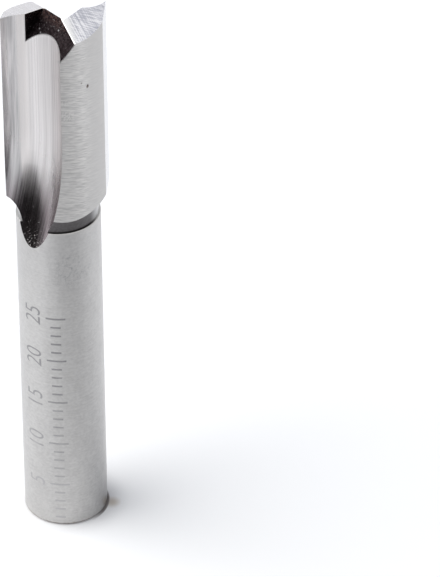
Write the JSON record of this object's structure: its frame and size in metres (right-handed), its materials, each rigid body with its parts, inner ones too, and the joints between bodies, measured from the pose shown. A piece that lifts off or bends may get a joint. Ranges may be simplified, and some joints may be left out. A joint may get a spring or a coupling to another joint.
{
  "type": "straight-flute router bit",
  "caption": "Straight router bit with a round shank, an undercut neck and two straight flutes ground up to a plunge-cutting tip.",
  "frame": {"origin": "centre of the shank's flat end face, on which the bit stands", "axes": "+Z along the tool's axis from the shank to the cutting tip; the two cutting corners lie on the X axis, and the +X tooth cuts towards +Y"},
  "size_m": [0.01, 0.008, 0.0577],
  "materials": {
    "tool_steel": "ground high-speed steel: fine turning lines on the shank, grinding lines in the flutes and on the tooth backs"
  },
  "bodies": {
    "root": {"router_bit": "tool_steel"}
  },
  "joints": []
}
